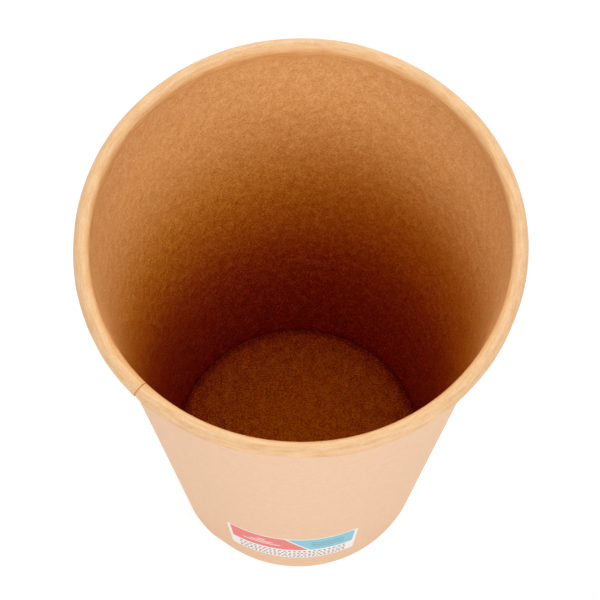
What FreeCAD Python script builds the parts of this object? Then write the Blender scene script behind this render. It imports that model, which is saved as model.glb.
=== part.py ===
"""A single-wall paper cup for hot drinks, about 450 ml to the brim.

Two pieces of coated board make it. The side wall is one fan-shaped sheet, wrapped into a cone and
bonded along a lapped seam. Its top edge is rolled outward into a spiral bead, and its bottom edge is
folded inward and up into a hem. The bottom is a disc with a turned-down skirt, held between the wall
and that hem.

Millimetres, +Z up. The origin is the centre of the foot, on the surface that the cup stands on.
The seam's inner edge lies at seam_angle, measured from +X towards +Y.
"""

import FreeCAD, Part
import math
import os

os.makedirs("parts", exist_ok=True)

# Overall form
cup_height = 135.0
rim_diameter = 90.0  # over the rolled bead
foot_diameter = 60.0  # where the wall's outer line meets the ground

# Side wall sheet
wall_sheet = 0.35
bead_diameter = 3.24  # of the rolled bead's section
curl_clearance = 0.10  # between the wall and the edge that the roll brings back to it

# Seam
seam_angle = 225.7  # where the inner flap ends
lap_width = 10.0  # overlap of the two flaps, along the rim
ramp_width = 3.0  # beside the inner flap's edge, where the sheet comes back to one layer

# Bends are drawn as flats between corners on the arc, because round faces on a sheet this thin make
# a mesh of six times the size. Fewer degrees give a rounder bend.
bead_flat = 45.0  # the most that the sheet turns from one flat of the bead to the next
floor_flat = 90.0  # about the same where the bottom turns down

# Hem and bottom
bottom_sheet = 0.30
floor_height = 6.5  # top of the disc above the ground
floor_bend = 0.60  # outer radius where the disc turns down into its skirt
hem_height = 5.5
skirt_clearance = 0.05  # between the skirt's edge and the fold below it, at the lap

# Derived
curl_radius = bead_diameter / 2
curl_centre_r = rim_diameter / 2 - curl_radius
curl_centre_z = cup_height - curl_radius
curl_step = (wall_sheet + curl_clearance) / 2  # the second half turn is tighter by this
bead_quarter_flats = math.ceil(90 / bead_flat)
floor_bend_flats = math.ceil(90 / floor_flat)
double_sheet = 2 * wall_sheet
skirt_end = double_sheet + skirt_clearance


def wall_lean():
    """The wall's angle from the vertical: its outer line starts at the foot, and its inner line is
    tangent to the bead's circle."""
    run = curl_centre_r - foot_diameter / 2
    reach = math.hypot(run, curl_centre_z)
    return math.atan2(run, curl_centre_z) - math.asin((curl_radius - wall_sheet) / reach)


lean = wall_lean()
seam_radius = rim_diameter / 2 - bead_diameter
lap_sweep = math.degrees(lap_width / seam_radius)
ramp_sweep = math.degrees(ramp_width / seam_radius)


def inner_line_r(z):
    """Radius of the wall's inner face at the height z."""
    return foot_diameter / 2 - wall_sheet / math.cos(lean) + z * math.tan(lean)


class BentSheet:
    """The section of a bent sheet, drawn as the track of one face. The sheet lies to the right of
    the way that the track is travelled, between two depths below that face. Each corner of the track
    has the heading on which it is reached and the heading on which it is left."""

    def __init__(self, r, z, heading):
        self.corners = [(r, z, heading, heading)]

    def line(self, length):
        r, z, _, heading = self.corners[-1]
        r, z = r + length * math.cos(heading), z + length * math.sin(heading)
        self.corners.append((r, z, heading, heading))

    def crease(self, turn):
        """Fold the sheet back to the left, sharp on this face."""
        r, z, reached, left = self.corners[-1]
        self.corners[-1] = (r, z, reached, left + turn)

    def bend(self, radius, turn, flats):
        """Bend to the right by the angle turn, in equal flats with their corners on the arc."""
        r, z, _, heading = self.corners[-1]
        centre_r = r + radius * math.sin(heading)
        centre_z = z - radius * math.cos(heading)
        for number in range(1, flats + 1):
            now = heading - turn * number / flats
            r, z = centre_r - radius * math.sin(now), centre_z + radius * math.cos(now)
            self.corners.append((r, z, now, now))

    def top_points(self, depth):
        """The face at this depth below the track, with its creases mitred."""
        made = []
        for r, z, reached, left in self.corners:
            heading, reach = (reached + left) / 2, depth / math.cos((left - reached) / 2)
            made.append(FreeCAD.Vector(r + reach * math.sin(heading), 0, z - reach * math.cos(heading)))
        return made

    def under_points(self, depth):
        """The sheet's other face, at this depth, with two flats round the outside of each crease."""
        made = []
        for r, z, reached, left in self.corners:
            for heading in dict.fromkeys((reached, (reached + left) / 2, left)):
                made.append(FreeCAD.Vector(r + depth * math.sin(heading), 0, z - depth * math.cos(heading)))
        return made

    def wire(self, top, under):
        """The closed outline of the sheet between the depths top and under."""
        upper, lower = self.top_points(top), self.under_points(under)
        return Part.makePolygon([*upper, *reversed(lower), upper[0]])


def lap_roll_flats():
    """How many flats of its second half turn the lap's double sheet takes before it meets the wall."""
    tight_radius = curl_radius - curl_step
    room = curl_radius - double_sheet - curl_clearance + curl_step * math.cos(lean)
    meets_wall = lean + math.acos(-room / tight_radius)
    return math.floor(meets_wall / math.pi * 2 * bead_quarter_flats)


def sidewall_track(fold_z, second_half_flats):
    """The side wall's inner face, from the top of the hem, down, round the fold at the foot, up the
    wall and round the bead. fold_z is the height of the fold's inside."""
    corner = inner_line_r(fold_z)
    slot = bottom_sheet / math.cos(lean)
    tangent_r = curl_centre_r - curl_radius * math.cos(lean)
    tangent_z = curl_centre_z + curl_radius * math.sin(lean)

    hem_top_r = corner - slot + (hem_height - fold_z) * math.tan(lean)
    track = BentSheet(hem_top_r, hem_height, -math.pi / 2 - lean)
    track.line((hem_height - fold_z) / math.cos(lean))
    track.crease(math.pi / 2 + lean)
    track.line(slot)
    track.crease(math.pi / 2 - lean)
    track.line(math.hypot(tangent_r - corner, tangent_z - fold_z))
    track.bend(curl_radius, math.pi / 2 - lean, bead_quarter_flats)
    track.bend(curl_radius, math.pi / 2, bead_quarter_flats)
    flat_turn = math.pi / 2 / bead_quarter_flats
    track.bend(curl_radius - curl_step, second_half_flats * flat_turn, second_half_flats)
    return track


def sidewall_wire(top, under, second_half_flats):
    """The side wall's section between two depths below its inner face. The fold is set so that the
    sheet's underside stands on the ground."""
    return sidewall_track(under, second_half_flats).wire(top, under)


def turned(shape, angle):
    """A copy, turned about the cup's axis to this angle in degrees."""
    copy = shape.copy()
    copy.rotate(FreeCAD.Vector(0, 0, 0), FreeCAD.Vector(0, 0, 1), angle)
    return copy


def revolved(wire, start, sweep):
    """A section, drawn in the XZ plane, turned about the cup's axis over a sector in degrees."""
    face = Part.Face(turned(wire, start))
    return face.revolve(FreeCAD.Vector(0, 0, 0), FreeCAD.Vector(0, 0, 1), sweep)


def make_single_wall():
    """The sheet as one layer, all the way round but for the seam. It is rolled one whole turn."""
    start = seam_angle + ramp_sweep
    section = sidewall_wire(0, wall_sheet, 2 * bead_quarter_flats)
    return revolved(section, start, 360 - ramp_sweep - lap_sweep)


def make_lap():
    """The bonded overlap: the inner flap at the inside, and the outer flap over it."""
    section = sidewall_wire(0, double_sheet, lap_roll_flats())
    return revolved(section, seam_angle - lap_sweep, lap_sweep)


def make_ramp():
    """Beside the inner flap's edge, the sheet lies over it, and comes back to the cup's inner face."""
    over_flap = sidewall_wire(wall_sheet, double_sheet, lap_roll_flats())
    settled = sidewall_wire(0, wall_sheet, lap_roll_flats())
    ends = [turned(over_flap, seam_angle), turned(settled, seam_angle + ramp_sweep)]
    return Part.makeLoft(ends, True, True)


def make_sidewall():
    return make_single_wall().fuse([make_lap(), make_ramp()])


def make_bottom():
    """The disc, its bend and its skirt, which lies against the wall's inner face."""
    corner = inner_line_r(floor_height)
    disc_cut = floor_bend * math.tan((math.pi / 2 + lean) / 2)
    skirt_length = (floor_height - skirt_end) / math.cos(lean)

    track = BentSheet(0, floor_height, 0)
    track.line(corner - disc_cut)
    track.bend(floor_bend, math.pi / 2 + lean, floor_bend_flats)
    track.line(skirt_length - disc_cut)
    return revolved(track.wire(0, bottom_sheet), 0, 360)


def export(shape, name):
    shape.exportStep(os.path.join("parts", name + ".step"))
    print(name, "solids", len(shape.Solids), "valid", shape.isValid(), "mm3", round(shape.Volume, 1))


export(make_sidewall(), "sidewall")
export(make_bottom(), "bottom")
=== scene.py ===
"""The looks of an empty kraft paper cup, seen from high above.

Two pieces are modelled as the real blanks are: the side wall is one strip of board, wrapped past its
own start, hemmed at the foot and rolled at the rim, and the bottom is a disc with a turned-down skirt.
Sizes inside this script are in millimetres, and meshes are written in metres.
"""

import math

import bmesh
import bpy
import numpy as np
from mathutils import Matrix, Vector


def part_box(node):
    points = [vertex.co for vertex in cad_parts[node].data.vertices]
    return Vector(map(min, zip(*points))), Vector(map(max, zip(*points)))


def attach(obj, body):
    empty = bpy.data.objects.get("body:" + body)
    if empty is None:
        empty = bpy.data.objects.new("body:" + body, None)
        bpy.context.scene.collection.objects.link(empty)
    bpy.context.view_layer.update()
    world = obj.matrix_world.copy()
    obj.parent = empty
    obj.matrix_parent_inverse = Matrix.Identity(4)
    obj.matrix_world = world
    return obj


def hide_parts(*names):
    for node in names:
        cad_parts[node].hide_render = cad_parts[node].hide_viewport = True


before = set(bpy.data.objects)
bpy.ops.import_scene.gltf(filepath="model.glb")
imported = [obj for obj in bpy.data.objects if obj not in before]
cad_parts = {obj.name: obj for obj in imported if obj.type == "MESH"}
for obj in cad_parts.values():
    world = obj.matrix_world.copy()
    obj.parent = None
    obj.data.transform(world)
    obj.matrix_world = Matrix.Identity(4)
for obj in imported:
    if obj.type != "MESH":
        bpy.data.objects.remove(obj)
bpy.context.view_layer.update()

MM = 0.001
_, SIDEWALL_HIGH = (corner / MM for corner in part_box("sidewall"))
BOTTOM_LOW, BOTTOM_HIGH = (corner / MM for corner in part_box("bottom"))

# The construction's sizes
CUP_HEIGHT = SIDEWALL_HIGH.z
RIM_RADIUS = SIDEWALL_HIGH.x
FOOT_RADIUS = 30.0
FLOOR_HEIGHT = BOTTOM_HIGH.z
SKIRT_END = BOTTOM_LOW.z
WALL_SHEET = 0.35
BOTTOM_SHEET = 0.30
HEM_HEIGHT = 5.5
FOLD_RADIUS = 0.12
FLOOR_BEND = 0.60
BEAD_RADIUS = 1.62
ROLL_CLEARANCE = 0.06

# Where the rolled sheet ends, in degrees past the bead's outermost point
ROLL_END = 225.0
ROLL_END_AT_SEAM = 145.0
LEAST_TUCK = 0.5  # of its last bend, in degrees

# The seam, in degrees: the inner flap ends at SEAM_ANGLE, and the outer flap goes on outside it to
# SEAM_ANGLE - LAP. Pairs hold where something starts and where it is full.
SEAM_ANGLE = 225.7
LAP = 13.3
RAMP = 7.5
FLAP_GAP = 0.012  # mm between the two flaps
SEAM_SWELL = 0.10  # mm by which the bead's radius grows over the doubled sheet
SWELL_RISE = (-14, 0)
SWELL_FALL = (10, 38)

# The step that the inner flap's edge leaves on the bead
SEAM_NOTCH = 0.09  # mm deep
NOTCH_FADE = (0.9, 2.4)
GROOVE, GROOVE_GROWTH = 0.2, 0.4  # its width at the inside, and what comes to it at the outside
OUTSIDE = (-60, 20)  # in degrees past the bead's top

# Depths below the rim's top between which the wall becomes the bead
BEAD_ZONE = (6, 3)

# Slow waves: (height in mm, how many round the cup, phase in degrees)
RIM_WAVES = [(0.202, 1, 120), (0.124, 2, 351), (0.057, 3, 165), (0.084, 4, 303), (0.024, 5, 47)]
BEAD_WAVES = [(0.018, 5, 20), (0.014, 9, 130), (0.010, 16, 250)]
FLOOR_WAVES = [(0.05, 3, 40), (0.05, 5, 200), (0.03, 11, 90)]
FLOOR_WAVES_END = (0.93, 1.0)  # share of the floor's radius over which they fade
FLOOR_SAG = 0.10
SAG_FADE = 1  # mm below the floor's top over which the sag goes

# Creases round the bead: degrees past its top, width in degrees, depth in mm
CREASES = [
    (-12, 8, 0.030),
    (10, 8, 0.045),
    (32, 8, 0.055),
    (54, 8, 0.060),
    (76, 8, 0.070),
    (98, 8, 0.080),
    (120, 9, 0.070),
]
CREASE_SWAY, CREASE_SWAY_KNOTS = 7, 11  # degrees, and random knots round the cup
CREASE_STRENGTH, CREASE_SWING, CREASE_MOST = 0.45, 0.9, 1.2
CREASE_BREAK_KNOTS = 67
CREASE_BREAK_SEED = 20

# Over the print the bead is pressed a little slimmer: by how much, over how many degrees
PRINT_ANGLE = -92.4
PRESSED, PRESSED_WIDTH = 0.14, 9.0

# Mesh
SIDEWALL_COLUMNS = 400
LAP_COLUMNS = 16  # of them, how many lie in the outer flap past the seam
SEAM_COLUMNS = 40  # of them, how many lie within SEAM_ZONE degrees of each end of one turn
SEAM_ZONE = 7.0
HEM_STEPS, FOLD_STEPS, WALL_STEPS = 6, 6, 38
BEAD_STEPS = 16  # in each of the bead's first two quarter turns
SECOND_HALF_STEPS, TUCK_STEPS = 22, 5
BOTTOM_COLUMNS = 288
DISC_STEPS, FLOOR_BEND_STEPS, SKIRT_STEPS = 34, 8, 8
MERGE_DISTANCE = 1e-7  # metres
SHARP_ANGLE = 50  # degrees between two faces from which their edge isn't shaded smooth

# Layout of the maps for baking, as shares of the map
BAKE_LEFT, BAKE_RIGHT = 0.004, 0.996
BAKE_FACE_HEIGHT, BAKE_FACE_PLACES = 0.48, (0.004, 0.492)
BAKE_STRIPS, BAKE_STRIP_STEP, BAKE_STRIP_HEIGHT = 0.977, 0.006, 0.003
BAKE_DISC_RADIUS, BAKE_DISC_PLACES = 0.235, ((0.25, 0.75), (0.75, 0.25))
BAKE_DISC_STRIP = (0.005, 0.005, 0.49, 0.01)


def wall_lean():
    """The wall's angle from the vertical, from the foot to its tangent on the bead's circle."""
    run = RIM_RADIUS - BEAD_RADIUS - FOOT_RADIUS
    rise = CUP_HEIGHT - BEAD_RADIUS
    return math.atan2(run, rise) - math.asin((BEAD_RADIUS - WALL_SHEET) / math.hypot(run, rise))


LEAN = wall_lean()


def inner_line_r(z):
    """Radius of the wall's inner face at the height z."""
    return FOOT_RADIUS - WALL_SHEET / math.cos(LEAN) + z * math.tan(LEAN)


def smooth(value, low, high):
    """0 below low, 1 above high, and an even slope's S between them."""
    t = np.clip((value - low) / (high - low), 0, 1)
    return t * t * (3 - 2 * t)


def on_bead(z):
    """0 on the wall and 1 on the bead."""
    return smooth(z, *(CUP_HEIGHT - depth for depth in BEAD_ZONE))


def ripples(angle, waves):
    """A sum of waves round the cup, each (height, how many, phase in degrees)."""
    return sum(height * np.sin(np.radians(count * angle + phase)) for height, count, phase in waves)


def wander(angle, knots, seed):
    """A smooth random line round the cup, about -1 to 1, that meets itself after a turn."""
    values = np.random.default_rng(seed).uniform(-1, 1, knots)
    place = (angle % 360) / 360 * knots
    index = np.floor(place).astype(int)
    t = smooth(place - index, 0, 1)
    return values[index % knots] * (1 - t) + values[(index + 1) % knots] * t


class Track:
    """One face of a sheet in section, for all columns at once. The sheet lies to the right of the
    way travelled. r holds a radius for each column."""

    def __init__(self, r, z, heading):
        self.r, self.z, self.heading = r, z, heading
        self.length = np.zeros_like(r)
        self.rows = []
        self.mark()

    def mark(self):
        self.rows.append((self.r, self.z, self.heading, self.length))

    def line(self, length, steps):
        for _ in range(steps):
            self.r = self.r + length / steps * np.cos(self.heading)
            self.z = self.z + length / steps * np.sin(self.heading)
            self.length = self.length + length / steps
            self.mark()

    def bend(self, radius, turn, steps):
        """Turn right, or left where turn is negative."""
        side = math.copysign(1, np.mean(turn)) * radius
        centre_r = self.r + side * np.sin(self.heading)
        centre_z = self.z - side * np.cos(self.heading)
        for _ in range(steps):
            self.heading = self.heading - turn / steps
            self.r = centre_r - side * np.sin(self.heading)
            self.z = centre_z + side * np.cos(self.heading)
            self.length = self.length + radius * np.abs(turn) / steps
            self.mark()

    def grids(self):
        """Arrays of r, z, heading and length, by row and column."""
        return [np.stack([row[k] + 0 * self.r for row in self.rows]) for k in range(4)]


def face_grid(r, z, heading, depth, angle):
    """x, y and z of the face at this depth in a sheet, by row and column."""
    face_r = r + depth * np.sin(heading)
    face_z = z - depth * np.cos(heading)
    turn = np.radians(angle) + 0 * face_r
    return face_r * np.cos(turn), face_r * np.sin(turn), face_z


def quads(grid):
    """The corners' numbers of each face between the rows and columns of a grid of numbers."""
    around = [grid[:-1, :-1], grid[:-1, 1:], grid[1:, 1:], grid[1:, :-1]]
    return np.stack(around, axis=-1).reshape(-1, 4)


def sheet_mesh(name, faces, closed, materials):
    """A closed solid from a sheet's two faces. faces holds (x, y, z) grids by row and column: the
    first face and then the other. closed joins the last column to the first, and then the first row
    is one point. materials are for the first face, the other face and the edges."""
    first, other = (np.stack(face, axis=-1) for face in faces)
    rows, columns = first.shape[:2]
    points = np.concatenate([first.reshape(-1, 3), other.reshape(-1, 3)]) * MM
    number = np.arange(rows * columns).reshape(rows, columns)
    if closed:
        number = np.concatenate([number, number[:, :1]], axis=1)

    to_other = rows * columns
    parts = [(quads(number), 0), (quads(number + to_other)[:, ::-1], 1)]
    edges = [number[-1][::-1]]
    if not closed:
        edges += [number[0], number[::-1, 0], number[:, -1]]
    for line in edges:
        parts.append((quads(np.stack([line + to_other, line])), 2))
    polygons = np.concatenate([part for part, _ in parts])
    slots = np.concatenate([np.full(len(part), slot) for part, slot in parts])

    mesh = bpy.data.meshes.new(name)
    mesh.from_pydata(points.tolist(), [], polygons.tolist())
    for material in materials:
        mesh.materials.append(material)
    mesh.polygons.foreach_set("material_index", slots.astype(np.int32))
    mesh.polygons.foreach_set("use_smooth", np.ones(len(polygons), bool))
    mesh.update()
    mesh.set_sharp_from_angle(angle=math.radians(SHARP_ANGLE))
    return in_scene(name, mesh)


def in_scene(name, data):
    """A new object in the scene with this mesh, lamp or camera."""
    made = bpy.data.objects.new(name, data)
    bpy.context.scene.collection.objects.link(made)
    return made


def map_places(u, v):
    """One (u, v) for each vertex of one face, from grids by row and column."""
    return np.stack([u, v], axis=-1).reshape(-1, 2)


def add_map(piece, name, face_places, strips=()):
    """A UV map from the places of each face's vertices. strips gives the sheet's edges places of their
    own: for each edge how many faces it has, and its strip's corners as (u0, v0, u1, v1)."""
    mesh = piece.data
    layer = mesh.uv_layers.new(name=name)
    corners = np.zeros(len(mesh.loops), np.int32)
    mesh.loops.foreach_get("vertex_index", corners)
    places = np.concatenate(face_places)[corners]
    first = len(places) - 4 * sum(count for count, _ in strips)
    for count, (u0, v0, u1, v1) in strips:
        left = u0 + (u1 - u0) * np.arange(count) / count
        right = left + (u1 - u0) / count
        quad = [(left, v1), (right, v1), (right, v0), (left, v0)]
        strip = np.stack([np.stack([u, v + 0 * u], axis=-1) for u, v in quad], axis=1)
        places[first:first + 4 * count] = strip.reshape(-1, 2)
        first += 4 * count
    layer.uv.foreach_set("vector", places.astype(np.float32).ravel())


def merge_centre(piece):
    """Join the vertices of the first row, which all lie on the centre, on each face of the sheet."""
    bm = bmesh.new()
    bm.from_mesh(piece.data)
    bmesh.ops.remove_doubles(bm, verts=bm.verts, dist=MERGE_DISTANCE)
    bm.to_mesh(piece.data)
    bm.free()


def sidewall_angles():
    """Each column's angle in degrees, from the inner flap's end back round the cup and on through the
    lap. Columns lie closer together beside the seam."""
    start, end = SEAM_ANGLE, SEAM_ANGLE - LAP - 360
    stops = [start, start - SEAM_ZONE, start - 360 + SEAM_ZONE, start - 360, end]
    one_turn = SIDEWALL_COLUMNS - LAP_COLUMNS
    counts = [0, SEAM_COLUMNS, one_turn - SEAM_COLUMNS, one_turn, SIDEWALL_COLUMNS - 1]
    return np.interp(np.arange(SIDEWALL_COLUMNS), counts, stops)


def sidewall_track(bead, in_lap):
    """The side wall's inner face, from the top of the hem, round the fold at the foot, up the wall and
    round the bead of this radius. in_lap is 1 where the sheet is double."""
    fold_z = WALL_SHEET * (1 + in_lap) + FLAP_GAP * in_lap
    slot = BOTTOM_SHEET / math.cos(LEAN)
    corner = inner_line_r(fold_z)
    hem_top_r = corner - slot + (HEM_HEIGHT - fold_z) * math.tan(LEAN)
    # A fold of a small radius starts that radius times the half turn's tangent before its corner
    hem_cut = FOLD_RADIUS * math.tan((math.pi / 2 + LEAN) / 2)
    wall_cut = FOLD_RADIUS * math.tan((math.pi / 2 - LEAN) / 2)
    track = Track(hem_top_r, HEM_HEIGHT, -math.pi / 2 - LEAN)
    track.line((HEM_HEIGHT - fold_z) / math.cos(LEAN) - hem_cut, HEM_STEPS)
    track.bend(FOLD_RADIUS, -(math.pi / 2 + LEAN), FOLD_STEPS)
    track.line(slot - hem_cut - wall_cut, 1)
    track.bend(FOLD_RADIUS, -(math.pi / 2 - LEAN), FOLD_STEPS)

    tangent_z = CUP_HEIGHT - bead + bead * math.sin(LEAN)
    track.line((tangent_z - fold_z) / math.cos(LEAN) - wall_cut, WALL_STEPS)
    track.bend(bead, math.pi / 2 - LEAN, BEAD_STEPS)
    track.bend(bead, math.pi / 2, BEAD_STEPS)
    step = (WALL_SHEET + ROLL_CLEARANCE) / 2
    roll_end = ROLL_END_AT_SEAM + (ROLL_END - ROLL_END_AT_SEAM) * (1 - in_lap)
    track.bend(bead - step, np.radians(np.minimum(roll_end, 180)), SECOND_HALF_STEPS)
    track.bend(bead - 2 * step, np.radians(np.maximum(roll_end - 180, LEAST_TUCK)), TUCK_STEPS)
    return track


def bead_creases(angle, heading):
    """Fine creases that run round the rolled bead and break off, as depths into the sheet."""
    past_top = -np.degrees(heading)  # 0 at the bead's top, 90 at its outermost point
    depth = np.zeros_like(heading)
    for number, (middle, width, deep) in enumerate(CREASES):
        centre = middle + CREASE_SWAY * wander(angle, CREASE_SWAY_KNOTS, number)
        breaks = wander(angle, CREASE_BREAK_KNOTS, CREASE_BREAK_SEED + number)
        strength = np.clip(CREASE_STRENGTH + CREASE_SWING * breaks, 0, CREASE_MOST)
        depth = depth + deep * strength * np.exp(-(((past_top - centre) / width) ** 2))
    return depth


def seam_level(along, heading, under):
    """How far the bead's sheet beside the inner flap's edge is pressed out, until it is level with the
    flap but for a step. under is how far the sheet lies below the flap's face."""
    outward = smooth(-np.degrees(heading), *OUTSIDE)
    notch = SEAM_NOTCH * (1 - smooth(-along, *NOTCH_FADE)) * outward
    groove = GROOVE + GROOVE_GROWTH * outward
    return (1 - smooth(along, -groove, 0)) * np.maximum(under - notch, 0)


def make_sidewall(materials):
    angle = sidewall_angles()
    outer_half = angle < SEAM_ANGLE - 180  # the half turn that ends in the outer flap
    # The place round the cup, from the seam's edge towards the lap, whichever layer the column is in
    along = np.where(outer_half, SEAM_ANGLE - 360 - angle, SEAM_ANGLE - angle)
    in_lap = smooth(along, -RAMP, 0) * (1 - smooth(along, LAP, LAP + RAMP))
    under = (WALL_SHEET + FLAP_GAP) * (1 - smooth(angle, SEAM_ANGLE - 360, SEAM_ANGLE - 360 + RAMP))
    swell = smooth(along, *SWELL_RISE) * (1 - smooth(along, *SWELL_FALL))
    bead = BEAD_RADIUS + SEAM_SWELL * swell + ripples(angle, BEAD_WAVES)
    bead = bead - PRESSED * np.exp(-(((angle - PRINT_ANGLE) / PRESSED_WIDTH) ** 2))

    r, z, heading, length = sidewall_track(bead, in_lap).grids()
    r = r + np.clip(z / CUP_HEIGHT, 0, 1) ** 2 * ripples(angle, RIM_WAVES)
    level = np.where(outer_half, seam_level(along, heading, under), 0)
    crease = (bead_creases(angle, heading) - level) * on_bead(z)
    faces = [face_grid(r, z, heading, depth + crease, angle) for depth in (under, under + WALL_SHEET)]
    piece = sheet_mesh("sidewall_board", faces, False, materials)
    add_sidewall_maps(piece, angle, length)
    return piece


def add_sidewall_maps(piece, angle, length):
    """length is the way along the sheet from the hem's top, by row and column."""
    # The flat blank: a fan, whose distance from the cone's tip is the place along the sheet
    tip = inner_line_r(0) / math.sin(LEAN)
    fan = tip + length - HEM_HEIGHT
    swing = np.radians(angle - PRINT_ANGLE) * math.sin(LEAN) + 0 * fan
    flat = map_places(fan * np.sin(swing), fan * np.cos(swing) - tip) * MM
    add_map(piece, "Sheet", [flat, flat])

    # The way round the rim, and the way along the sheet from the foot
    round_rim = np.radians(angle - PRINT_ANGLE) * RIM_RADIUS + 0 * length
    around = map_places(round_rim, length - HEM_HEIGHT) * MM
    add_map(piece, "Around", [around, around])

    rows, columns = length.shape
    across = np.linspace(BAKE_LEFT, BAKE_RIGHT, columns) + 0 * length
    up = length / length.max() * BAKE_FACE_HEIGHT
    strips = []
    for edge, count in enumerate((columns - 1, columns - 1, rows - 1, rows - 1)):
        low = BAKE_STRIPS + BAKE_STRIP_STEP * edge
        strips.append((count, (BAKE_LEFT, low, BAKE_RIGHT, low + BAKE_STRIP_HEIGHT)))
    add_map(piece, "OFBake", [map_places(across, up + place) for place in BAKE_FACE_PLACES], strips)


def make_bottom(materials):
    angle = np.arange(BOTTOM_COLUMNS) * 360 / BOTTOM_COLUMNS
    corner = inner_line_r(FLOOR_HEIGHT)
    cut = FLOOR_BEND * math.tan((math.pi / 2 + LEAN) / 2)
    track = Track(0 * angle, FLOOR_HEIGHT, 0.0)
    track.line(corner - cut, DISC_STEPS)
    track.bend(FLOOR_BEND, math.pi / 2 + LEAN, FLOOR_BEND_STEPS)
    track.line((FLOOR_HEIGHT - SKIRT_END) / math.cos(LEAN) - cut, SKIRT_STEPS)
    r, z, heading, length = track.grids()
    share = np.clip(r / corner, 0, 1)
    waves = ripples(angle, FLOOR_WAVES) * share**4 * (1 - smooth(share, *FLOOR_WAVES_END))
    sag = FLOOR_SAG * (1 - share**2) * smooth(z, FLOOR_HEIGHT - SAG_FADE, FLOOR_HEIGHT)
    z = z + waves - sag
    faces = [face_grid(r, z, heading, depth, angle) for depth in (0, BOTTOM_SHEET)]
    # Columns run the other way round than the side wall's, so that both solids face outward
    faces = [tuple(grid[:, ::-1] for grid in face) for face in faces]
    piece = sheet_mesh("bottom_board", faces, True, materials)
    turn = np.radians(angle)[::-1] + 0 * length
    flat = map_places(length * np.cos(turn), length * np.sin(turn))
    add_map(piece, "Sheet", [flat * MM, flat * MM])
    disc = flat / length.max() * BAKE_DISC_RADIUS
    strips = [(BOTTOM_COLUMNS, BAKE_DISC_STRIP)]
    add_map(piece, "OFBake", [disc + place for place in BAKE_DISC_PLACES], strips)
    merge_centre(piece)
    return piece


class Graph:
    """The node tree of a material or a world, written from values to sockets."""

    def __init__(self, owner):
        self.owner = owner
        self.owner.use_nodes = True
        self.tree = self.owner.node_tree
        self.tree.nodes.clear()

    def put(self, socket, value):
        """Link a socket to this one, or set this one to a plain value."""
        if isinstance(value, bpy.types.NodeSocket):
            self.tree.links.new(value, socket)
        else:
            socket.default_value = value

    def node(self, kind, inputs, **settings):
        made = self.tree.nodes.new(kind)
        for key, value in settings.items():
            setattr(made, key, value)
        for key, value in inputs.items():
            self.put(made.inputs[key], value)
        return made

    def math(self, operation, *values, clamp=False):
        inputs = dict(enumerate(values))
        return self.node("ShaderNodeMath", inputs, operation=operation, use_clamp=clamp).outputs[0]

    def noise(self, place, scale, detail, roughness):
        inputs = {"Vector": place, "Scale": scale, "Detail": detail, "Roughness": roughness}
        return self.node("ShaderNodeTexNoise", inputs).outputs["Fac"]

    def span(self, value, low, high, to_low=0.0, to_high=1.0, clamp=True):
        inputs = {"Value": value, "From Min": low, "From Max": high, "To Min": to_low, "To Max": to_high}
        return self.node("ShaderNodeMapRange", inputs, clamp=clamp).outputs["Result"]

    def map(self, name):
        return self.node("ShaderNodeUVMap", {}, uv_map=name).outputs["UV"]

    def object_place(self):
        return self.node("ShaderNodeTexCoord", {}).outputs["Object"]

    def vector(self, operation, *values):
        made = self.node("ShaderNodeVectorMath", dict(enumerate(values)), operation=operation)
        return made.outputs["Value" if operation == "LENGTH" else "Vector"]

    def scaled(self, colour, factor):
        plain = isinstance(colour, tuple)
        inputs = {"Vector": colour[:3] if plain else colour, "Scale": factor}
        return self.node("ShaderNodeVectorMath", inputs, operation="SCALE").outputs["Vector"]

    def parts(self, vector):
        made = self.node("ShaderNodeSeparateXYZ", {"Vector": vector})
        return made.outputs["X"], made.outputs["Y"], made.outputs["Z"]

    def stretched(self, place, x, y, turn=0.0):
        inputs = {"Vector": place, "Scale": (x, y, 1.0), "Rotation": (0, 0, turn)}
        return self.node("ShaderNodeMapping", inputs).outputs["Vector"]

    def mix(self, share, first, second, blend="MIX"):
        made = self.node("ShaderNodeMix", {"Factor": share}, data_type="RGBA", blend_type=blend)
        # Its sockets for colours are the seventh and the eighth, and its third output
        self.put(made.inputs[6], first)
        self.put(made.inputs[7], second)
        return made.outputs[2]

    def ramp(self, value, stops):
        made = self.node("ShaderNodeValToRGB", {"Fac": value})
        elements = made.color_ramp.elements
        while len(elements) < len(stops):
            elements.new(0.5)
        for element, (place, rgb) in zip(elements, stops):
            element.position = place
            element.color = (*rgb, 1.0)
        return made.outputs["Color"]

    def finish(self, shader, output="ShaderNodeOutputMaterial"):
        self.node(output, {"Surface": shader.outputs[0]})
        return self.owner


def linear(red, green, blue):
    """A colour written as sRGB, 0 to 255, as the shader takes it."""
    parts = [value / 255 for value in (red, green, blue)]
    return tuple(v / 12.92 if v <= 0.04045 else ((v + 0.055) / 1.055) ** 2.4 for v in parts) + (1.0,)


# The board's colours
COATED = linear(250, 205, 153)
BARE = linear(239, 198, 163)
CUT = linear(225, 178, 135)

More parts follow.
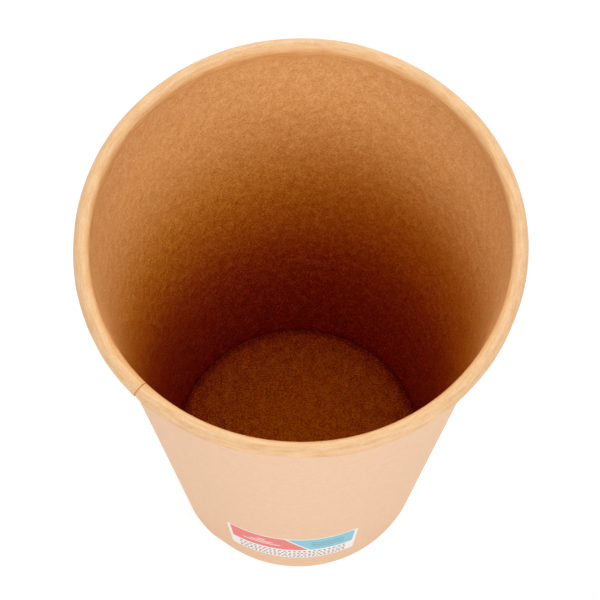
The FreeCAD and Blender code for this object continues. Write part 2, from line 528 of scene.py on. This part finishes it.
# How each side of the board looks. Pairs hold at the foot and at the rim: how much the pulp lightens
# the colour evenly, how much it changes the colour's depth, and how strong fibres are in the pulp.
COATED_LOOK = {
    "roughness": 0.55,
    "coat": 0.08,
    "specular": 0.3,
    "bump": 0.005,
    "even": (0.085, 0.018),
    "deep": (0.13, 0.06),
    "fibres": (2.1, 1.35),
    "flecks": 0.8,
}
FLOOR_LOOK = {**COATED_LOOK, "coat": 0.0, "specular": 0.05, "deep": (0.07, 0.05), "fibres": (2.0, 1.35)}
BARE_LOOK = {
    "roughness": 0.85,
    "coat": 0.0,
    "specular": 0.6,
    "bump": 0.004,
    "even": (0.010, 0.010),
    "deep": (0.014, 0.014),
    "fibres": (1.0, 1.0),
    "flecks": 0.25,
}
COAT_ROUGHNESS = 0.35
ROUGHNESS_SWING = 0.02
CUT_ROUGHNESS, CUT_BUMP, CUT_FIBRES = 0.9, 0.01, 0.05

# The pulp's noises: how they stretch across and along the sheet, their scale, detail and roughness,
# and the span of values that is drawn out to PULP_SPAN
MOTTLE = ((1.0, 0.7), (480.0, 4.0, 1.0), (0.35, 0.65))
FIBRES = ((0.7, 1.0), (2900.0, 2.0, 0.8), (0.3, 0.7))
PULP_SPAN = (-3.0, 3.0)

# Specks: the cells' size in mm, the share of cells that hold one, and its size in its cell
LARGE_SPECKS = (4.5, 0.06, 0.075)
SMALL_SPECKS = (3.0, 0.05, 0.055)
SMALL_SPECKS_TURN = 1.1
SPECK_STRETCH = 0.55
SPECK_CORE = 0.6  # the share of a speck's radius that is fully dark
SPECK_SHADE = 0.35

# Streaks on the bead, where most of the mottle is rubbed away
STREAKS = 1.1
STREAK_STRETCH, STREAK_NOISE, STREAK_SPAN = 0.13, (1700.0, 2.0, 0.5), (0.40, 0.60)
STREAK_ZONE = (3.6, 2.9)  # depths below the rim's top between which they come in
BEAD_MOTTLE_LOSS = 0.72

# Painted shade on the coated side: darker from the rim down to the floor, with lighter and darker
# painted bands round the bead. Length of wall above the foot in mm, up to and round the bead, then a
# tint
WALL_PAINTED_SHADE = [
    (6, 0.500, 0.028, 0.035),
    (19, 0.531, 0.058, 0.045),
    (31, 0.564, 0.078, 0.038),
    (49, 0.637, 0.179, 0.032),
    (62, 0.759, 0.368, 0.042),
    (76, 0.830, 0.514, 0.072),
    (86, 0.899, 0.665, 0.187),
    (101, 0.948, 0.792, 0.453),
    (116, 0.934, 0.788, 0.531),
    (124, 0.877, 0.722, 0.517),
    (131.2, 0.844, 0.679, 0.483),
    (132.6, 0.792, 0.615, 0.429),
    (134, 0.868, 0.750, 0.575),
    (134.7, 0.935, 0.860, 0.745),
    (135.3, 0.985, 0.945, 0.895),
    (136.4, 0.925, 0.912, 0.930),
    (138.2, 0.877, 0.839, 0.849),
    (139.0, 0.790, 0.720, 0.720),
    (139.6, 0.725, 0.650, 0.645),
    (146, 0.736, 0.660, 0.622),
]
# Painted shade on the floor, darker towards its edge by the wall: radius in mm, then a tint
FLOOR_PAINTED_SHADE = [
    (0, 0.99, 0.53, 0.014),
    (7, 0.97, 0.475, 0.026),
    (14, 0.95, 0.44, 0.033),
    (24, 0.875, 0.345, 0.037),
    (28.0, 0.73, 0.21, 0.037),
    (29.2, 0.48, 0.082, 0.026),
]


def pulp(g, place):
    """The pulp's unevenness, mostly from -1 to 1: one noise for mottle and one for short fibres."""
    return [
        g.span(g.noise(g.stretched(place, *stretch), *kind), *span, *PULP_SPAN)
        for stretch, kind, span in (MOTTLE, FIBRES)
    ]


def specks(g, place, cell, share, size):
    """Sparse specks: 1 inside them."""
    inputs = {"Vector": g.stretched(place, SPECK_STRETCH, 1.0), "Scale": 1 / (cell * MM)}
    cells = g.node("ShaderNodeTexVoronoi", inputs)
    chosen = g.math("GREATER_THAN", g.parts(cells.outputs["Color"])[0], 1 - share)
    spot = g.span(cells.outputs["Distance"], size * SPECK_CORE, size, 1.0, 0.0)
    return g.math("MULTIPLY", chosen, spot)


def all_specks(g, place):
    askew = g.stretched(place, 1.0, 1.0, SMALL_SPECKS_TURN)
    return g.math("MAXIMUM", specks(g, place, *LARGE_SPECKS), specks(g, askew, *SMALL_SPECKS))


def streaked_bead(g, tone, height):
    """The tone with streaks round the bead in place of most of its mottle."""
    bead = g.span(height, *((CUP_HEIGHT - depth) * MM for depth in STREAK_ZONE))
    streaks = g.noise(g.stretched(g.map("Around"), STREAK_STRETCH, 1.0), *STREAK_NOISE)
    streaks = g.span(streaks, *STREAK_SPAN, -1.0, 1.0, clamp=False)
    plain = g.math("MULTIPLY", tone, g.math("MULTIPLY_ADD", bead, -BEAD_MOTTLE_LOSS, 1.0))
    return g.math("ADD", plain, g.math("MULTIPLY", g.math("MULTIPLY", streaks, bead), STREAKS))


def board(name, base, look, painted_shade=None, streaked=False, over=None):
    """A kraft board of this base colour and look. Its painted shade, if given, takes the graph and gives
    a colour to multiply by. over takes the graph and the colour and gives the colour with a print on it."""
    g = Graph(bpy.data.materials.new(name))
    place = g.map("Sheet")
    height = g.parts(g.object_place())[2]
    even, deep, fibre_share = (
        g.span(height, 0.0, CUP_HEIGHT * MM, *look[what]) for what in ("even", "deep", "fibres")
    )
    mottle, fibres = pulp(g, place)
    tone = g.math("ADD", mottle, g.math("MULTIPLY", fibres, fibre_share))
    if streaked:
        tone = streaked_bead(g, tone, height)

    # Painted shade, where given: darker deep in the cup, multiplied into the base colour
    colour = g.mix(1.0, base, painted_shade(g), "MULTIPLY") if painted_shade else base
    colour = g.scaled(colour, g.math("MULTIPLY_ADD", tone, even, 1.0))
    gamma = g.math("SUBTRACT", 1.0, g.math("MULTIPLY", tone, deep))
    colour = g.node("ShaderNodeGamma", {"Color": colour, "Gamma": gamma}).outputs[0]
    dark = g.math("MULTIPLY", all_specks(g, place), look["flecks"])
    colour = g.mix(dark, colour, g.scaled(colour, SPECK_SHADE))
    if over:
        colour = over(g, colour)

    bump = g.node("ShaderNodeBump", {"Height": tone, "Distance": look["bump"] * MM})
    inputs = {
        "Base Color": colour,
        "Roughness": g.math("MULTIPLY_ADD", mottle, ROUGHNESS_SWING, look["roughness"], clamp=True),
        "Normal": bump.outputs[0],
        "Coat Weight": look["coat"],
        "Coat Roughness": COAT_ROUGHNESS,
        "Specular IOR Level": look["specular"],
    }
    return g.finish(g.node("ShaderNodeBsdfPrincipled", inputs))


def painted_shade_ramp(g, value, shade_stops, reach):
    """A ramp of painted shade over a value in metres, from stops that hold it in mm and a tint. reach is
    its end.
    """
    return g.ramp(g.span(value, 0.0, reach * MM), [(mark / reach, rgb) for mark, *rgb in shade_stops])


# Painted shade on the coated wall, darker deeper in the cup, by length along the sheet
def painted_shade_by_length(g):
    return painted_shade_ramp(g, g.parts(g.map("Around"))[1], WALL_PAINTED_SHADE, WALL_PAINTED_SHADE[-1][0])


# Painted shade on the floor, darker towards its edge, by radius
def painted_shade_by_radius(g):
    return painted_shade_ramp(g, g.vector("LENGTH", g.map("Sheet")), FLOOR_PAINTED_SHADE, FOOT_RADIUS)


def edge_board():
    """The sheet's cut edge, with nothing on it."""
    g = Graph(bpy.data.materials.new("cut_edge"))
    mottle, fibres = pulp(g, g.map("Sheet"))
    bump = g.node("ShaderNodeBump", {"Height": mottle, "Distance": CUT_BUMP * MM})
    inputs = {
        "Base Color": g.scaled(CUT, g.math("MULTIPLY_ADD", fibres, CUT_FIBRES, 1.0)),
        "Roughness": CUT_ROUGHNESS,
        "Normal": bump.outputs[0],
    }
    return g.finish(g.node("ShaderNodeBsdfPrincipled", inputs))


# The print. Its boxes are (centre, half its size, its corners' radius), in millimetres from PRINT_ANGLE
# round the cup and up from the foot.
PANEL_RADIUS = 32.1  # of the cup at the panel's middle
INK_EDGE = 0.05
PAPER_WHITE = linear(250, 241, 236)
CORAL = linear(240, 130, 125)
LIGHT_BLUE = linear(140, 205, 220)
INK = linear(110, 95, 98)
PANEL = ((0, 23.75), (15.4, 11.45), 1.1)
FIELDS = ((0, 28.2), (14.6, 6.2), 0.5)
DIVIDE_PLACE, DIVIDE_SLANT, DIVIDE_HALF_GAP = 1.4, 0.45, 0.3
BARS_PLACE, BAR_HALF_HEIGHT, BAR_CORNER = -7.2, 0.38, 0.37
BARS = [(26.2, 4.6), (28.2, 2.8), (30.2, 1.0)]  # height, half length
WAVE_HEIGHTS = (26.0, 28.0, 30.0)
WAVE_RATE, WAVE_SWING, WAVE_HALF_LINE = 2.2, 0.45, 0.2
WAVES_WINDOW = ((8.4, 28), (3.9, 3.4), 0.5)
DOT_ROWS = [(19.8, 1.2), (17.7, 0.95), (15.6, 1.2), (13.8, 0.95)]  # height, pitch
DOT_SHARE, DOT_HALF_HEIGHT, DOT_CORNER = 0.3, 0.42, 0.2
DOTS_WINDOW, DOTS_WINDOW_CORNER = (13.4, 1.0), 0.1


class Design:
    """Plain printed shapes, laid over a colour one after the other. Places are in millimetres round
    the cup and up from its foot, and the shapes narrow towards the foot with the cup."""

    def __init__(self, g, colour, radius):
        self.g, self.colour = g, colour
        scale = (radius / RIM_RADIUS / MM, 1 / MM, 0)
        self.place = g.vector("MULTIPLY", g.map("Around"), scale)
        self.u, self.v, _ = g.parts(self.place)

    def box(self, centre, half, corner, place=None):
        """How far outside a box with rounded corners, negative inside."""
        g = self.g
        out = g.vector("ABSOLUTE", g.vector("SUBTRACT", place or self.place, (*centre, 0)))
        out = g.vector("SUBTRACT", out, (half[0] - corner, half[1] - corner, 0))
        return g.math("SUBTRACT", g.vector("LENGTH", g.vector("MAXIMUM", out, (0, 0, 0))), corner)

    def lay(self, distance, colour, limit=None):
        """Print where distance is negative, and where limit is too."""
        share = self.g.span(distance, -INK_EDGE, INK_EDGE, 1.0, 0.0)
        if limit is not None:
            share = self.g.math("MULTIPLY", share, self.g.span(limit, -INK_EDGE, INK_EDGE, 1.0, 0.0))
        self.colour = self.g.mix(share, self.colour, colour)


def print_fields(g, art):
    """Two fields of colour with a slanted gap between them."""
    fields = art.box(*FIELDS)
    (_, middle), _, _ = FIELDS
    slanted = g.math("MULTIPLY_ADD", g.math("SUBTRACT", art.v, middle), DIVIDE_SLANT, art.u)
    divide = g.math("SUBTRACT", slanted, DIVIDE_PLACE)
    art.lay(fields, CORAL, g.math("ADD", divide, DIVIDE_HALF_GAP))
    art.lay(fields, LIGHT_BLUE, g.math("SUBTRACT", DIVIDE_HALF_GAP, divide))


def print_waves(g, art):
    for height in WAVE_HEIGHTS:
        swing = g.math("MULTIPLY", g.math("SINE", g.math("MULTIPLY", art.u, WAVE_RATE)), WAVE_SWING)
        off_line = g.math("ABSOLUTE", g.math("SUBTRACT", g.math("ADD", art.v, swing), height))
        art.lay(g.math("SUBTRACT", off_line, WAVE_HALF_LINE), INK, art.box(*WAVES_WINDOW))


def print_dots(g, art):
    for height, pitch in DOT_ROWS:
        beside = g.math("PINGPONG", art.u, pitch / 2)
        spot = g.node("ShaderNodeCombineXYZ", {"X": beside, "Y": art.v}).outputs[0]
        dots = art.box((pitch / 2, height), (pitch * DOT_SHARE, DOT_HALF_HEIGHT), DOT_CORNER, spot)
        art.lay(dots, INK, art.box((0, height), DOTS_WINDOW, DOTS_WINDOW_CORNER))


def printed_panel(g, colour):
    """A white panel with a coral field, a light blue field, bars, waves and rows of dots."""
    art = Design(g, colour, PANEL_RADIUS)
    art.lay(art.box(*PANEL), PAPER_WHITE)
    print_fields(g, art)
    for height, half_length in BARS:
        art.lay(art.box((BARS_PLACE, height), (half_length, BAR_HALF_HEIGHT), BAR_CORNER), PAPER_WHITE)
    print_waves(g, art)
    print_dots(g, art)
    return art.colour


# The coated wall and floor carry painted shade, darker deeper in the cup
coated = board("coated_kraft", COATED, COATED_LOOK, painted_shade_by_length, streaked=True)
coated_floor = board("coated_floor", COATED, FLOOR_LOOK, painted_shade_by_radius)
bare = board("bare_kraft", BARE, BARE_LOOK)
printed = board("printed_kraft", BARE, BARE_LOOK, over=printed_panel)
cut = edge_board()

sidewall = make_sidewall([coated, printed, cut])
bottom = make_bottom([coated_floor, bare, cut])
for piece, node, slot in ((sidewall, "sidewall", "wall_board"), (bottom, "bottom", "bottom_board")):
    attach(piece, "root")
    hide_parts(node)

# The studio, in metres and watts
WHITE = (1, 1, 1, 1)
FLOOR_HALF = 3.0
FLOOR_PAPER = (0.93, 0.93, 0.93, 1)  # as light on the cup comes from it
FLOOR_SHADED = (0.3, 0.3, 0.3, 1)  # as it is seen, under its glow
FLOOR_GLOW = 0.79
GLOW_NEAR, GLOW_FAR = 0.2, 1.3
WORLD_LEVEL = 0.46
BOX_DISTANCE, BOX_SIZE = 1.0, 0.5
BOX_AIM = 0.6  # share of the cup's height
# Soft boxes: azimuth, elevation, watts
SOFT_BOXES = [
    ("back_box", 90, 30, 5.0),
    ("front_box", -90, 24, 0.6),
    ("front_left_box", -140, 25, 2.4),
    ("front_right_box", -40, 25, 1.7),
    ("high_right_box", -45, 50, 1.9),
]

# The camera, fitted to the photograph's outlines, in millimetres and radians
CAMERA_PLACE = (0.0, -178.6, 549.7)
CAMERA_AIM = (0.11, 0.0, 102.0)
CAMERA_LENS, CAMERA_SENSOR = 137.84, 36.0
CAMERA_ROLL = 0.0080


def make_floor():
    """A pale floor that goes on to pure white far away. From below it can be seen through."""
    corners = [(-1, -1), (1, -1), (1, 1), (-1, 1)]
    mesh = bpy.data.meshes.new("studio_floor")
    mesh.from_pydata([(x * FLOOR_HALF, y * FLOOR_HALF, 0) for x, y in corners], [], [(0, 1, 2, 3)])
    floor = in_scene("studio_floor", mesh)
    g = Graph(bpy.data.materials.new("pale_floor"))
    seen = g.node("ShaderNodeLightPath", {})
    behind = g.math("MAXIMUM", seen.outputs["Is Camera Ray"], seen.outputs["Is Glossy Ray"])
    behind = g.math("MAXIMUM", behind, seen.outputs["Is Transmission Ray"])
    away = g.vector("LENGTH", g.object_place())
    glow = g.math("MULTIPLY", behind, g.span(away, GLOW_NEAR, GLOW_FAR, FLOOR_GLOW, 1.0))
    paper = g.node("ShaderNodeBsdfDiffuse", {"Color": g.mix(behind, FLOOR_PAPER, FLOOR_SHADED)})
    shine = g.node("ShaderNodeEmission", {"Color": WHITE, "Strength": glow})
    both = g.node("ShaderNodeAddShader", {0: paper.outputs[0], 1: shine.outputs[0]})
    clear = g.node("ShaderNodeBsdfTransparent", {})
    below = g.node("ShaderNodeNewGeometry", {}).outputs["Backfacing"]
    sided = g.node("ShaderNodeMixShader", {0: below, 1: both.outputs[0], 2: clear.outputs[0]})
    floor.data.materials.append(g.finish(sided))


def make_world():
    g = Graph(bpy.data.worlds.new("studio"))
    seen = g.node("ShaderNodeLightPath", {})
    behind = g.math("MAXIMUM", seen.outputs["Is Camera Ray"], seen.outputs["Is Transmission Ray"])
    level = g.span(behind, 0.0, 1.0, WORLD_LEVEL, 1.0)
    background = g.node("ShaderNodeBackground", {"Color": WHITE, "Strength": level})
    bpy.context.scene.world = g.finish(background, "ShaderNodeOutputWorld")


def make_lights():
    aim = Vector((0, 0, CUP_HEIGHT * MM * BOX_AIM))
    for name, azimuth, elevation, watts in SOFT_BOXES:
        light = bpy.data.lights.new(name, "AREA")
        light.shape = "DISK"
        light.size = BOX_SIZE
        light.energy = watts
        lamp = in_scene(name, light)
        a, e = math.radians(azimuth), math.radians(elevation)
        way = Vector((math.cos(a) * math.cos(e), math.sin(a) * math.cos(e), math.sin(e)))
        lamp.location = aim + way * BOX_DISTANCE
        lamp.rotation_euler = way.to_track_quat("Z", "Y").to_euler()


def make_camera():
    data = bpy.data.cameras.new("camera")
    data.lens, data.sensor_width = CAMERA_LENS, CAMERA_SENSOR
    camera = in_scene("camera", data)
    place, aim = Vector(CAMERA_PLACE), Vector(CAMERA_AIM)
    ahead = (aim - place).normalized()
    right = ahead.cross(Vector((0, 0, 1))).normalized()
    up = right.cross(ahead)
    c, s = math.cos(CAMERA_ROLL), math.sin(CAMERA_ROLL)
    right, up = c * right + s * up, c * up - s * right
    turn = Matrix((right, up, -ahead)).transposed()
    camera.matrix_world = Matrix.Translation(place * MM) @ turn.to_4x4()
    bpy.context.scene.camera = camera


make_floor()
make_world()
make_lights()
make_camera()
bpy.context.scene.view_settings.view_transform = "Standard"
